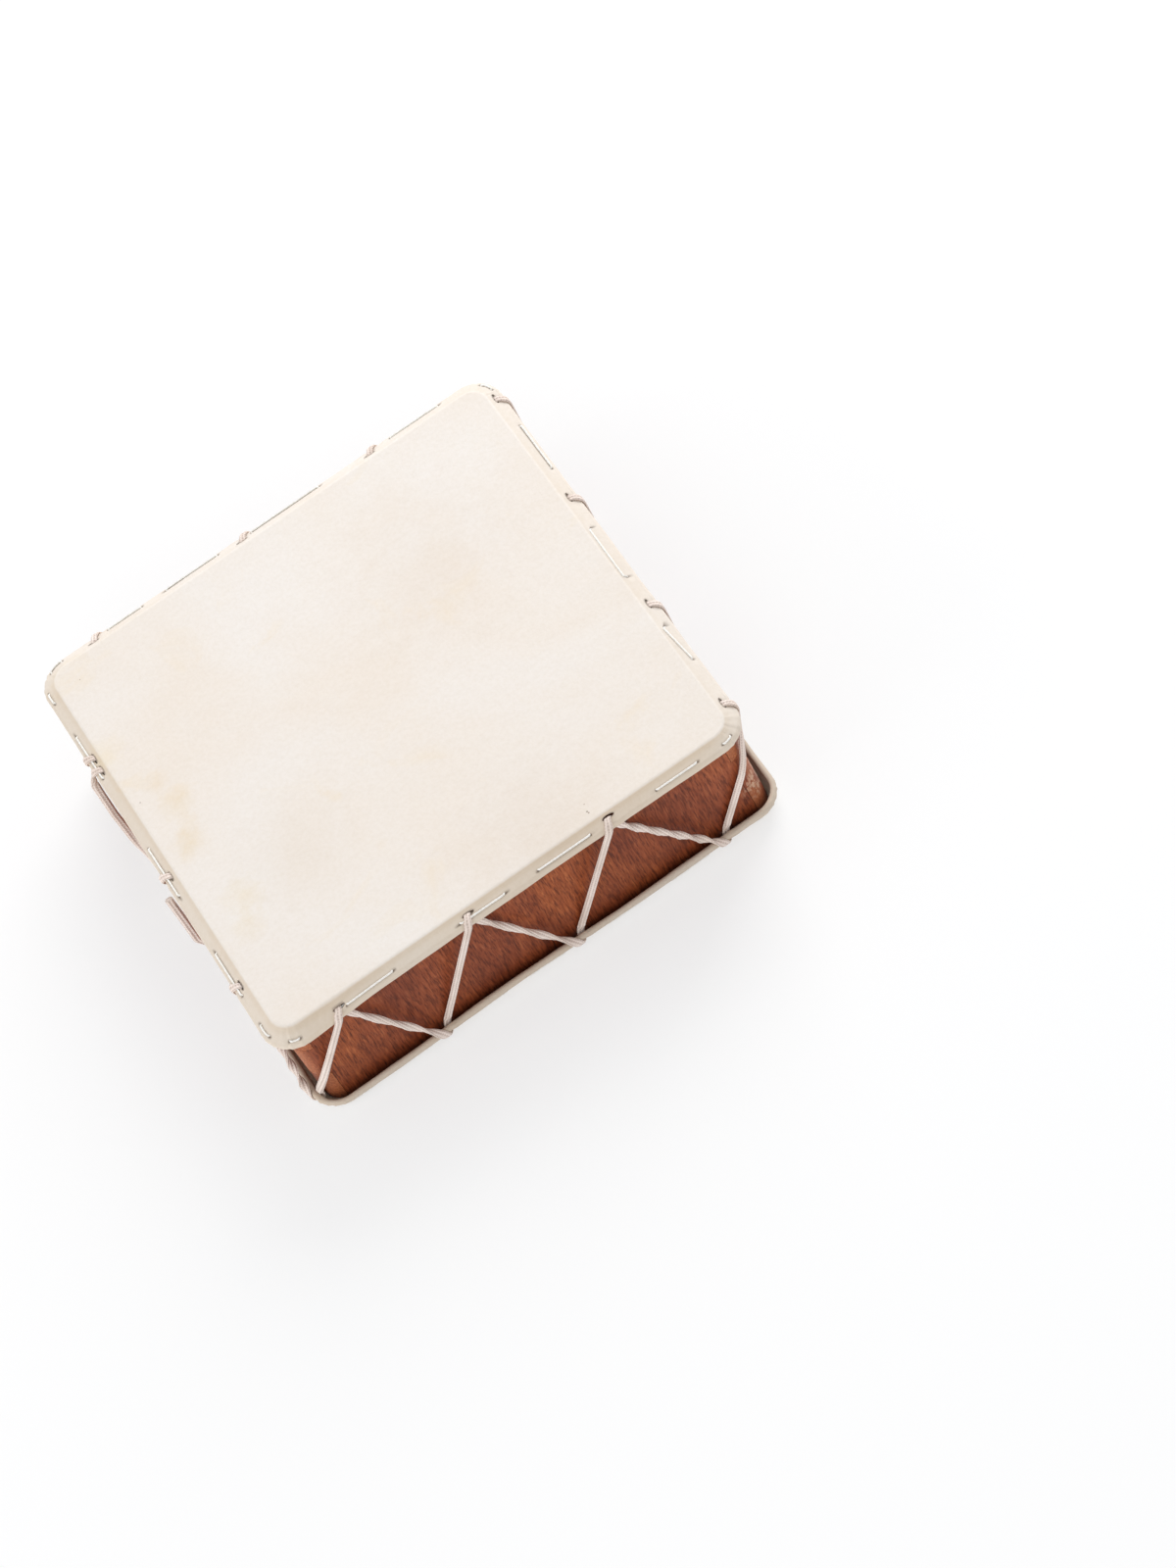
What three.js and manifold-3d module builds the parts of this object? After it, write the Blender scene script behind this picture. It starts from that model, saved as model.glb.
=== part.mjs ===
// Square double-headed hand drum, in millimetres, +Z up, lying on its lower head.
//
// Four boards meet in box joints and make the shell. Each rawhide head covers one mouth of the
// shell, bends over its rim and tucks round a bent rod hoop that stands a little outside the shell.
// A running stitch closes the tuck above the hoop. One braided cord zigzags between the two hoops
// and pulls the heads tight: it lies over the outside of a hoop, dives through a slit in the skin,
// passes flat between hoop and shell, and crosses the wood to the other hoop.
//
// Every ring-shaped piece follows one line, the hoop's centre line seen from above. A place on the
// drum's rim is given by u (distance along that line), s (distance outside it) and a height.

import * as THREE from 'three';
import { mergeVertices } from 'three/addons/utils/BufferGeometryUtils.js';
import Module from 'manifold-3d';

const wasm = await Module();
wasm.setup();

// Hoops
const hoopHalf = 122.5;        // centre of the drum to a hoop side's centre line
const hoopCorner = 13;         // bend radius of the centre line at the corners
const hoopSpacing = 62;        // height between the two centre lines
const rodRadius = 1.9;
const hoopButt = 0.5;          // slot between the two ends of the bent rod
// Heads
const skinThickness = 0.6;
const faceLift = 4.5;          // hoop centre line to the outer face of the head
const fit = 0.25;              // air left between pieces that touch on the real drum
// Shell
const lacingGap = 1.2;         // slot between wrapped hoop and shell, where the cord passes
const boardThickness = 8;
const rimEdge = 0.8;           // rounding of the shell's rim
const fingerCount = 3;         // fingers over the height of a box joint
const jointGap = 0.3;          // glue line of a box joint
// Lacing cord
const cordRadius = 1.7;
const cordFlat = 0.7;          // thickness where the cord is squeezed behind a hoop
const cordFlatWidth = 5.6;
const cordOverHoop = 1.4;      // thickness where it bends over the hoop
const cordOverWidth = 4.6;
const cordStep = 3;            // how far the cord moves along the hoop while it passes behind
// Stitching
const threadRadius = 0.35;
const stitchInset = 0.9;       // visible run, uphill of where the skin first touches the hoop
// Fineness of the round stretches
const cornerSteps = 5;
const wrapSteps = 8;
const rodSides = 8;
const cordSides = 8;
const threadSides = 5;

// Lacing slits of the upper head, from the middle of each side, in the order of u:
// front side along +X, right side along +Y, rear side along -X, left side along -Y.
const upperSlits = [[-91, -22, 52], [-105, -38, 36, 107], [-62, 9, 91], [-65, 14, 84]];
// Visible runs of the running stitch on the upper head, start and end, given the same way.
const upperRuns = [
  [[-84, -62], [-15, -3], [13, 41], [76, 97]],
  [[-98, -88], [-76, -51], [-16, 18], [56, 87]],
  [[-98, -72], [-52, -24], [20, 50], [62, 80]],
  [[-82, -72], [-56, -20], [22, 50], [64, 77]],
];
const lowerRuns = [[0.15, 0.42], [0.58, 0.85]];  // shares of the way from one lower slit to the next
const cornerStitch = 8;        // short stitch across the middle of each corner

// Sizes worked out from those above
const straight = hoopHalf - hoopCorner;
const cornerArc = (Math.PI / 2) * hoopCorner;
const sideLength = 2 * straight + cornerArc;
const perimeter = 4 * sideLength;
const tuckInner = rodRadius + fit;
const tuckOuter = tuckInner + skinThickness;
const shellFace = -(tuckOuter + lacingGap);
const totalHeight = hoopSpacing + 2 * faceLift;
const lowerHoopZ = faceLift;
const upperHoopZ = faceLift + hoopSpacing;
const shellBottom = skinThickness + fit;
const shellTop = totalHeight - shellBottom;
const bendInner = rimEdge + fit;
const bendOuter = bendInner + skinThickness;
const bendCentre = [shellFace - rimEdge, faceLift - skinThickness - fit - rimEdge];

// The taut skin between the rim and the hoop is the common tangent of the two circles.
const reach = Math.hypot(bendCentre[0], bendCentre[1]);
const reachAngle = Math.atan2(-bendCentre[1], -bendCentre[0]);
const webAngle = reachAngle + Math.acos((bendOuter - tuckOuter) / reach);
const webNormal = [Math.cos(webAngle), Math.sin(webAngle)];
const webDown = [Math.sin(webAngle), -Math.cos(webAngle)];

// Point of a hoop section, in steps along the web's normal and down its slope.
function onWeb(out, down) {
  return [webNormal[0] * out + webDown[0] * down, webNormal[1] * out + webDown[1] * down];
}

// Points of an arc in a section, from angle a to angle b, as [s, z].
function arc(centre, radius, a, b, steps) {
  const points = [];
  for (let i = 0; i <= steps; i++) {
    const angle = a + ((b - a) * i) / steps;
    points.push([centre[0] + radius * Math.cos(angle), centre[1] + radius * Math.sin(angle)]);
  }
  return points;
}

// Outline of the drum seen from above, s outside the hoop's centre line, counter-clockwise.
function outline(s) {
  const points = [];
  for (let corner = 0; corner < 4; corner++) {
    const middle = -Math.PI / 4 + (corner * Math.PI) / 2;
    const cx = Math.sign(Math.cos(middle)) * straight;
    const cy = Math.sign(Math.sin(middle)) * straight;
    for (let i = 0; i <= cornerSteps; i++) {
      const angle = middle - Math.PI / 4 + ((Math.PI / 2) * i) / cornerSteps;
      points.push([
        cx + (hoopCorner + s) * Math.cos(angle),
        cy + (hoopCorner + s) * Math.sin(angle),
      ]);
    }
  }
  return points;
}

// Place on the rim: position in plan, outward direction and direction of growing u.
// u = 0 is the middle of the front side.
function rimPlace(u) {
  const turned = (((u + sideLength / 2) % perimeter) + perimeter) % perimeter;
  const side = Math.floor(turned / sideLength);
  const along = turned - side * sideLength - sideLength / 2;
  const past = Math.abs(along) - straight;
  const bend = past > 0 ? (Math.sign(along) * past) / hoopCorner : 0;
  const out = [Math.sin(bend), -Math.cos(bend)];
  const base = past > 0
    ? [Math.sign(along) * straight + hoopCorner * out[0], -straight + hoopCorner * out[1]]
    : [along, -hoopHalf];
  const turn = (side * Math.PI) / 2;
  const rotate = ([x, y]) => [
    x * Math.cos(turn) - y * Math.sin(turn),
    x * Math.sin(turn) + y * Math.cos(turn),
  ];
  const outward = rotate(out);
  return { base: rotate(base), outward, ahead: [-outward[1], outward[0]] };
}

function rimPoint(u, s, z) {
  const place = rimPlace(u);
  return new THREE.Vector3(
    place.base[0] + s * place.outward[0],
    place.base[1] + s * place.outward[1],
    z,
  );
}

function rimAhead(u) {
  const { ahead } = rimPlace(u);
  return new THREE.Vector3(ahead[0], ahead[1], 0);
}

// Closed mesh from rings of equal length. The rings close on themselves; the ends get caps,
// or the last ring joins the first.
function skinRings(rings, capped) {
  const count = rings[0].length;
  const positions = rings.flat().flatMap((p) => [p.x, p.y, p.z]);
  const index = [];
  const last = capped ? rings.length - 1 : rings.length;
  for (let i = 0; i < last; i++) {
    const next = (i + 1) % rings.length;
    for (let j = 0; j < count; j++) {
      const k = (j + 1) % count;
      index.push(i * count + j, next * count + j, next * count + k);
      index.push(i * count + j, next * count + k, i * count + k);
    }
  }
  if (capped) {
    addCap(index, rings[0], 0, true);
    addCap(index, rings[rings.length - 1], (rings.length - 1) * count, false);
  }
  const geometry = new THREE.BufferGeometry();
  geometry.setAttribute('position', new THREE.Float32BufferAttribute(positions, 3));
  geometry.setIndex(index);
  return geometry;
}

// A cap is flat: its triangles are found in the plane of the ring.
function addCap(index, ring, offset, first) {
  const middle = ring.reduce((sum, p) => sum.add(p), new THREE.Vector3());
  middle.divideScalar(ring.length);
  const across = ring[0].clone().sub(middle).normalize();
  const quarter = Math.round(ring.length / 4);
  const normal = across.clone().cross(ring[quarter].clone().sub(middle)).normalize();
  const up = normal.clone().cross(across);
  const flat = ring.map((p) => {
    const d = p.clone().sub(middle);
    return new THREE.Vector2(d.dot(across), d.dot(up));
  });
  for (const [a, b, c] of THREE.ShapeUtils.triangulateShape(flat, [])) {
    const area = flat[b].clone().sub(flat[a]).cross(flat[c].clone().sub(flat[a]));
    const [p, q] = area > 0 ? [b, c] : [c, b];
    if (first) index.push(offset + a, offset + p, offset + q);
    else index.push(offset + a, offset + q, offset + p);
  }
}

// Solid swept round the drum from a section in s and z. An open section starts and ends on
// flat faces that reach across the whole drum; a closed one makes a ring.
function roundTheDrum(section, capped) {
  const rings = section.map(([s, z]) => outline(s).map(([x, y]) => new THREE.Vector3(x, y, z)));
  return skinRings(rings, capped);
}

function toSolid(geometry) {
  const plain = new THREE.BufferGeometry();
  plain.setAttribute('position', geometry.getAttribute('position'));
  if (geometry.index) plain.setIndex(geometry.index);
  const merged = mergeVertices(plain, 1e-4);
  const solid = new wasm.Manifold(new wasm.Mesh({
    numProp: 3,
    vertProperties: new Float32Array(merged.getAttribute('position').array),
    triVerts: new Uint32Array(merged.index.array),
  }));
  if (solid.volume() > 0) return solid;
  throw new Error('a solid is inside out');
}

function toGeometry(solid) {
  const mesh = solid.getMesh();
  const geometry = new THREE.BufferGeometry();
  geometry.setAttribute('position', new THREE.Float32BufferAttribute(mesh.vertProperties, 3));
  geometry.setIndex([...mesh.triVerts]);
  return geometry;
}

function box(low, high) {
  const size = high.map((v, i) => v - low[i]);
  const geometry = new THREE.BoxGeometry(...size);
  geometry.translate(...high.map((v, i) => (v + low[i]) / 2));
  return toSolid(geometry);
}

// Shell

// The shell before it is divided: rounded corners outside, square inside, softened rims.
function shellBlank() {
  const section = [
    ...arc([shellFace - rimEdge, shellTop - rimEdge], rimEdge, Math.PI / 2, 0, 2),
    ...arc([shellFace - rimEdge, shellBottom + rimEdge], rimEdge, 0, -Math.PI / 2, 2),
  ];
  const inside = hoopHalf + shellFace - boardThickness;
  const room = box([-inside, -inside, shellBottom - 1], [inside, inside, shellTop + 1]);
  return toSolid(roundTheDrum(section, true)).subtract(room);
}

// Board for the front (side 0), right, rear or left side. Front and rear boards have the even
// fingers counted from 1, right and left boards the odd ones.
function boardSolid(blank, side) {
  const outer = hoopHalf + shellFace;
  const inner = outer - boardThickness;
  const height = (shellTop - shellBottom) / fingerCount;
  const gap = jointGap / 2;
  const pieces = [box([-inner + gap, -outer - 1, shellBottom - 1], [inner - gap, -inner, shellTop + 1])];
  for (let finger = 0; finger < fingerCount; finger++) {
    if (finger % 2 !== (side + 1) % 2) continue;
    const low = finger === 0 ? shellBottom - 1 : shellBottom + finger * height + gap;
    const high = finger === fingerCount - 1 ? shellTop + 1 : shellBottom + (finger + 1) * height - gap;
    pieces.push(box([-outer - 1, -outer - 1, low], [outer + 1, -inner - gap, high]));
  }
  const region = wasm.Manifold.union(pieces).rotate([0, 0, 90 * side]);
  return blank.intersect(region);
}

// Hoops

function hoopSolid(z) {
  const section = arc([0, z], rodRadius, 2 * Math.PI, 0, rodSides);
  section.pop();
  const ring = toSolid(roundTheDrum(section, false));
  const butt = box(
    [-hoopButt / 2, hoopHalf - 2 * rodRadius, z - 2 * rodRadius],
    [hoopButt / 2, hoopHalf + 2 * rodRadius, z + 2 * rodRadius],
  );
  return ring.subtract(butt);
}

// Routes. A station of a cord or thread has a place on the rim, its half width and half
// thickness, and the direction in which it is wide: along the hoop, if nothing else is given.

function station(u, s, z, halfWidth, halfThickness, across = rimAhead(u)) {
  return { u, s, z, point: rimPoint(u, s, z), across, halfWidth, halfThickness };
}

// Tube through stations, closed on itself if the route is, and grown by a margin where it is
// the hole that the route needs.
function tube(stations, sides, { grow = 0, closed = false } = {}) {
  const count = stations.length;
  const rings = stations.map((here, i) => {
    const before = closed ? stations[(i + count - 1) % count] : stations[Math.max(i - 1, 0)];
    const after = closed ? stations[(i + 1) % count] : stations[Math.min(i + 1, count - 1)];
    const along = after.point.clone().sub(before.point).normalize();
    const thin = along.clone().cross(here.across).normalize();
    const wide = thin.clone().cross(along);
    const ring = [];
    for (let j = 0; j < sides; j++) {
      const angle = (2 * Math.PI * (j + 0.5)) / sides;
      ring.push(here.point.clone()
        .addScaledVector(wide, -Math.cos(angle) * (here.halfWidth + grow))
        .addScaledVector(thin, Math.sin(angle) * (here.halfThickness + grow)));
    }
    return ring;
  });
  return toSolid(skinRings(rings, !closed));
}

// Heights above a hoop's centre line point away from the drum's middle: up on the upper head
// (sign 1), down on the lower one (sign -1).
function hoopHeight(sign, z) {
  return (sign > 0 ? upperHoopZ : lowerHoopZ) + sign * z;
}

// The cord where it comes over a hoop from outside, dives through the skin and passes flat
// behind the hoop, to leave towards the middle of the drum. It moves along the hoop as it does,
// forwards (way 1) or backwards (way -1).
const gapMiddle = (shellFace - tuckOuter) / 2;
const touch = fit + 0.05;
const woodTouch = shellFace + touch + cordRadius;
function overHoop(u, sign, way = 1) {
  const at = (du, [s, z], width, thickness) =>
    station(u + way * du * cordStep, s, hoopHeight(sign, z), width / 2, thickness / 2);
  const wrapped = (du, angle, width, thickness) => {
    const radius = tuckOuter + touch + thickness / 2;
    return at(du, [radius * Math.cos(angle), radius * Math.sin(angle)], width, thickness);
  };
  const full = 2 * cordRadius;
  const slitZ = faceLift - skinThickness - fit - cordFlat / 2;
  const outside = [
    wrapped(-0.5, -0.15, full, full),
    wrapped(-0.45, 0.35, full, 0.9 * full),
    wrapped(-0.4, 0.8, cordOverWidth, (cordOverHoop + full) / 2),
    wrapped(-0.35, webAngle, cordOverWidth, cordOverHoop),
  ];
  const through = [
    at(-0.3, onWeb(tuckOuter + cordOverHoop * 0.3, -2), cordOverWidth, cordOverHoop * 0.75),
    at(-0.25, [-tuckOuter + cordFlat * 0.2, slitZ], cordFlatWidth, cordFlat),
    at(-0.15, [gapMiddle, slitZ - 2 * cordFlat], cordFlatWidth, cordFlat),
  ];
  const behind = [
    at(0, [gapMiddle, 0], cordFlatWidth, cordFlat),
    at(0.3, [gapMiddle, -tuckOuter], cordFlatWidth, cordFlat),
    at(0.5, [(gapMiddle + woodTouch) / 2, -tuckOuter - 2], cordOverWidth, 0.7 * full),
    at(0.9, [woodTouch, -tuckOuter - 4.6], full, full),
  ];
  return { outside, through, behind };
}

// Taut stretch across the wood between two stations. Seen from above it is straight, except
// where it bends round a corner of the shell.
function stretch(from, to) {
  const side = Math.round((from.u + to.u) / 2 / sideLength - 0.5);
  const cornerU = (side + 0.5) * sideLength;
  if (Math.min(from.u, to.u) > cornerU || Math.max(from.u, to.u) < cornerU) return [];
  const place = rimPlace(cornerU);
  const centre = new THREE.Vector2(...place.base)
    .addScaledVector(new THREE.Vector2(...place.outward), -hoopCorner);
  const radius = hoopCorner + woodTouch;
  const turn = Math.sign(to.u - from.u);
  const plan = [from, to].map((end) => new THREE.Vector2(end.point.x, end.point.y).sub(centre));
  const leave = plan.map((p, i) => {
    const away = Math.acos(Math.min(1, radius / p.length()));
    return p.angle() + turn * (i === 0 ? away : -away);
  });
  const circle = 2 * Math.PI;
  const sweep = (((turn * (leave[1] - leave[0])) % circle) + circle) % circle;
  if (sweep > Math.PI) return [];
  const arcPoints = [];
  for (let i = 0; i <= cornerSteps; i++) {
    const angle = leave[0] + (turn * sweep * i) / cornerSteps;
    arcPoints.push(new THREE.Vector2(Math.cos(angle), Math.sin(angle)).multiplyScalar(radius));
  }
  const all = [plan[0], ...arcPoints, plan[1]];
  const travelled = [0];
  for (let i = 1; i < all.length; i++) {
    travelled.push(travelled[i - 1] + all[i].distanceTo(all[i - 1]));
  }
  return arcPoints.map((p, i) => {
    const share = travelled[i + 1] / travelled[all.length - 1];
    const z = from.z + (to.z - from.z) * share;
    return {
      point: new THREE.Vector3(centre.x + p.x, centre.y + p.y, z),
      across: new THREE.Vector3(-p.y, p.x, 0).normalize(),
      halfWidth: cordRadius,
      halfThickness: cordRadius,
    };
  });
}

// Slits of the two heads, as u. Those of the lower head lie midway between two upper ones.
const upperU = upperSlits.flatMap((list, side) => list.map((along) => along + side * sideLength));
const lowerU = upperU.map((u, i) => {
  const next = i + 1 < upperU.length ? upperU[i + 1] : upperU[0] + perimeter;
  return (u + next) / 2;
});

// The cord starts behind the lower hoop on the left side, runs once round the drum and comes
// back to the same place. Its other end stands up outside the upper hoop, cut short.
const slitCount = upperU.length;
const startIndex = slitCount - 2;
const cordStartAside = 9;      // start of the cord, beside the slit where its end comes out
const tailLean = 22;           // the cut end leans back along the hoop by this much
const tailDrop = 4;            // and stops this far below the upper hoop's centre line
function lacingRoute() {
  const start = overHoop(lowerU[startIndex] + cordStartAside, -1).behind;
  const passes = [];
  for (let k = 1; k <= slitCount; k++) {
    const i = (startIndex + k) % slitCount;
    const turns = startIndex + k >= slitCount ? perimeter : 0;
    passes.push(overHoop(upperU[i] + turns, 1));
    const last = k === slitCount;
    passes.push(overHoop(lowerU[i] + turns, -1, last ? -1 : 1));
  }
  const end = lowerU[startIndex] + perimeter - tailLean;
  const tail = [0, 0.5].map((back) => station(
    end - back,
    tuckOuter + touch + cordRadius + 0.6,
    upperHoopZ - tailDrop + back * 6,
    cordRadius,
    cordRadius,
  ));
  const route = [...start];
  const risers = [];
  passes.forEach((pass, step) => {
    const from = route[route.length - 1];
    route.push(...stretch(from, pass.outside[0]));
    route.push(...pass.outside, ...pass.through, ...pass.behind);
    const i = (startIndex + 1 + step / 2) % slitCount;
    if (step % 2 === 0) risers[i] = [from, pass.outside[0]];
  });
  return { route: [...route, ...tail], passes, risers };
}

// A spare length of the same cord over the upper hoop on the left side. It hangs out a little,
// crosses over the next rising strand, and its lower end is tucked behind the lower hoop.
const tieIndex = slitCount - 3;
const tieAside = 8;            // beside the main cord's slit
const tieReach = 52;           // lower end, further along the hoop than the upper one
const tieBulge = 1.2;          // how far it hangs out below the hoop
function tieRoute(lacing) {
  const topU = upperU[tieIndex] + perimeter + tieAside;
  const top = overHoop(topU, 1);
  const foot = overHoop(topU + tieReach, -1, -1);
  const under = lacing.risers[tieIndex + 1];
  const over = [top.outside[0], foot.behind[3]];
  const step = (a, b) => ({ u: b.u - a.u, z: b.z - a.z, s: b.s - a.s });
  const cross = (a, b) => a.u * b.z - a.z * b.u;
  const [overStep, underStep, apart] = [step(...over), step(...under), step(over[0], under[0])];
  const overShare = cross(apart, underStep) / cross(overStep, underStep);
  const underShare = cross(apart, overStep) / cross(overStep, underStep);
  const clear = 2 * cordRadius * 1.3 + fit;
  const crossing = station(
    over[0].u + overStep.u * overShare,
    under[0].s + underStep.s * underShare + clear,
    over[0].z + overStep.z * overShare,
    cordRadius,
    cordRadius,
  );
  const bulge = station(
    over[0].u + overStep.u * overShare * 0.45,
    over[0].s + tieBulge,
    over[0].z + overStep.z * overShare * 0.45,
    cordRadius,
    cordRadius,
  );
  const down = [top.behind[0], ...[...top.through].reverse(), ...[...top.outside].reverse()];
  return { route: [...down, bulge, crossing, ...[...foot.behind].reverse()], passes: [top] };
}

// Where the thread of the running stitch lies: outside, on the skin above the hoop, and hidden,
// in the corner between the rod, the tuck and the skin above them.
const threadOut = onWeb(tuckOuter + touch + threadRadius, -stitchInset);
const hiddenRoom = tuckInner - fit - threadRadius;
const hiddenReach = rodRadius + fit + threadRadius;
const threadIn = onWeb(hiddenRoom, -Math.sqrt(hiddenReach ** 2 - hiddenRoom ** 2));
const diveLength = 0.7;        // how far the thread moves along the hoop as it goes through

// A thread's sides are counted from the direction square to the hoop and to its way through.
function threadStation(u, [s, z], sign) {
  const place = rimPlace(u);
  const [ds, dz] = [threadOut[0] - threadIn[0], threadOut[1] - threadIn[1]];
  const across = new THREE.Vector3(dz * place.outward[0], dz * place.outward[1], -sign * ds);
  return station(u, s, hoopHeight(sign, z), threadRadius, threadRadius, across.normalize());
}

// Stations between two places on one level, with more of them round the corners.
function levelRun(u0, u1, place, sign) {
  const stations = [threadStation(u0, place, sign)];
  for (let side = -1; side <= 9; side++) {
    const corner = (side + 0.5) * sideLength;
    for (let i = 0; i <= cornerSteps; i++) {
      const u = corner - cornerArc / 2 + (cornerArc * i) / cornerSteps;
      if (u > u0 + 1 && u < u1 - 1) stations.push(threadStation(u, place, sign));
    }
  }
  stations.push(threadStation(u1, place, sign));
  return stations;
}

function stitchRoute(runs, sign) {
  const route = [];
  const half = diveLength / 2;
  runs.forEach(([u0, u1], i) => {
    const next = i + 1 < runs.length ? runs[i + 1][0] : runs[0][0] + perimeter;
    route.push(...levelRun(u0 + half, u1 - half, threadOut, sign));
    route.push(...levelRun(u1 + half, next - half, threadIn, sign));
  });
  return route;
}

// Needle holes at both ends of each visible run.
function needleHoles(runs, sign) {
  const above = threadOut.map((v, i) => v + (v - threadIn[i]) * 0.4);
  return runs.flatMap(([u0, u1]) => [[u0, -1], [u1, 1]].map(([u, way]) => {
    const half = (way * diveLength) / 2;
    const ends = [threadStation(u - half, above, sign), threadStation(u + half, threadIn, sign)];
    return tube(ends, threadSides + 1, { grow: fit });
  }));
}

const upperStitches = upperRuns.flatMap((list, side) => [
  ...list.map((run) => run.map((along) => along + side * sideLength)),
  [-1, 1].map((way) => (side + 0.5) * sideLength + (way * cornerStitch) / 2),
]);
const lowerStitches = lowerU.flatMap((u, i) => {
  const next = i + 1 < slitCount ? lowerU[i + 1] : lowerU[0] + perimeter;
  return lowerRuns.map((run) => run.map((share) => u + (next - u) * share));
});

// Heads

// Section of a head: over the rim, down the taut skin, round the rod and up on its inner side.
function headSection(sign) {
  const flapTop = (tuckInner + webNormal[0] * tuckInner) / webNormal[1] - fit;
  const section = [
    ...arc(bendCentre, bendOuter, Math.PI / 2, webAngle, 2),
    ...arc([0, 0], tuckOuter, webAngle, -Math.PI, wrapSteps),
    [-tuckOuter, flapTop],
    [-tuckInner, flapTop],
    ...arc([0, 0], tuckInner, -Math.PI, webAngle, wrapSteps),
    ...arc(bendCentre, bendInner, webAngle, Math.PI / 2, 2),
  ].map(([s, z]) => [s, hoopHeight(sign, z)]);
  return sign > 0 ? section : section.reverse();
}

function headSolid(sign, stitches, cordPasses) {
  const skin = toSolid(roundTheDrum(headSection(sign), true));
  const slits = cordPasses.map((pass) => {
    const hole = [pass.outside[3], ...pass.through, pass.behind[0]];
    return tube(hole, cordSides, { grow: fit });
  });
  return skin.subtract(wasm.Manifold.union([...slits, ...needleHoles(stitches, sign)]));
}

// Assembly

const wood = new THREE.MeshStandardMaterial({ color: 0x8a4b2e, roughness: 0.6, metalness: 0 });
const rawhide = new THREE.MeshStandardMaterial({ color: 0xefe4d2, roughness: 0.75, metalness: 0 });
const rod = new THREE.MeshStandardMaterial({ color: 0x9a9a98, roughness: 0.45, metalness: 0.9 });
const braid = new THREE.MeshStandardMaterial({ color: 0xdcd0c2, roughness: 0.85, metalness: 0 });
const waxed = new THREE.MeshStandardMaterial({ color: 0xf3eee2, roughness: 0.5, metalness: 0 });

const drum = new THREE.Group();
function add(name, solid, material) {
  const mesh = new THREE.Mesh(toGeometry(solid), material);
  mesh.name = name;
  drum.add(mesh);
}

const blank = shellBlank();
['front_board', 'right_board', 'rear_board', 'left_board'].forEach((name, side) => {
  add(name, boardSolid(blank, side), wood);
});

const lacing = lacingRoute();
const tie = tieRoute(lacing);
const passesAt = (z) => [...lacing.passes, ...tie.passes]
  .filter((pass) => (pass.outside[0].z > totalHeight / 2) === (z > totalHeight / 2));
add('upper_hoop', hoopSolid(upperHoopZ), rod);
add('lower_hoop', hoopSolid(lowerHoopZ), rod);
add('upper_head', headSolid(1, upperStitches, passesAt(upperHoopZ)), rawhide);
add('lower_head', headSolid(-1, lowerStitches, passesAt(lowerHoopZ)), rawhide);
add('upper_stitching', tube(stitchRoute(upperStitches, 1), threadSides, { closed: true }), waxed);
add('lower_stitching', tube(stitchRoute(lowerStitches, -1), threadSides, { closed: true }), waxed);
add('lacing_cord', tube(lacing.route, cordSides), braid);
add('lacing_tie', tube(tie.route, cordSides), braid);

export default drum;
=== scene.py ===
import math

import bpy
import numpy as np
from mathutils import Matrix, Vector


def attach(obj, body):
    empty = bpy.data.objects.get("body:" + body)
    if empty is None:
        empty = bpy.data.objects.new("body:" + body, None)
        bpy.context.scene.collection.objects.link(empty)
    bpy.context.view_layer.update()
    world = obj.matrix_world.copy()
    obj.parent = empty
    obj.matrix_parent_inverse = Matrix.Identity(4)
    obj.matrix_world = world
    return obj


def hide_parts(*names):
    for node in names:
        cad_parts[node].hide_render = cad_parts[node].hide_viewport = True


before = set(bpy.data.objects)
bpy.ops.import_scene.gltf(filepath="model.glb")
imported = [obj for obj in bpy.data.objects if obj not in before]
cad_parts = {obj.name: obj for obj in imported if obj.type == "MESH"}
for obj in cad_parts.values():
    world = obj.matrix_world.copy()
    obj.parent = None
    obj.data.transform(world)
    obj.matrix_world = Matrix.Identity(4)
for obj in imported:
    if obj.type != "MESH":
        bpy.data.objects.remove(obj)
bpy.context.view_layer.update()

# Camera, floor and light
# The drum lies on its lower head and is looked at from above its front side, with the camera
# rolled to the left. A long lens stands far off, so the sides hardly draw together.

view = bpy.data.objects.new("Camera", bpy.data.cameras.new("Camera"))
bpy.context.scene.collection.objects.link(view)
bpy.context.scene.camera = view
view.data.sensor_width = 36
view.data.lens = 135
view.data.clip_start = 0.1
view.data.clip_end = 20
look_right = (0.825311, -0.475751, -0.304174)
look_up = (0.563778, 0.663822, 0.491421)
look_back = (-0.031876, -0.577062, 0.816078)
view_turn = Matrix((look_right, look_up, look_back)).transposed()
view_place = (-0.02855, -1.58033, 2.1624)
view.matrix_world = Matrix.Translation(view_place) @ view_turn.to_4x4()


def fill(node, inputs):
    """Fill sockets of a node: a number or colour is written, another node's output is linked."""
    for socket, value in inputs.items():
        if isinstance(value, bpy.types.NodeSocket):
            node.id_data.links.new(value, node.inputs[socket])
        else:
            node.inputs[socket].default_value = value


def add_node(tree, kind, inputs, **settings):
    """New shader node of a kind, with its settings made and its sockets filled."""
    node = tree.nodes.new("ShaderNode" + kind)
    for setting, value in settings.items():
        setattr(node, setting, value)
    fill(node, inputs)
    return node


def arithmetic(tree, operation, *values):
    """One step of arithmetic on numbers or outputs."""
    return add_node(tree, "Math", dict(enumerate(values)), operation=operation).outputs[0]


def new_finish(name):
    """Node material, its tree and the shader in it."""
    finish = bpy.data.materials.new(name)
    finish.use_nodes = True
    return finish, finish.node_tree, finish.node_tree.nodes["Principled BSDF"]


def looked_at(tree):
    """One for a ray from the camera or a reflection, nought for light that falls on the drum."""
    ray = add_node(tree, "LightPath", {})
    return arithmetic(tree, "MAXIMUM", ray.outputs["Is Camera Ray"], ray.outputs["Is Glossy Ray"])


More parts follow.
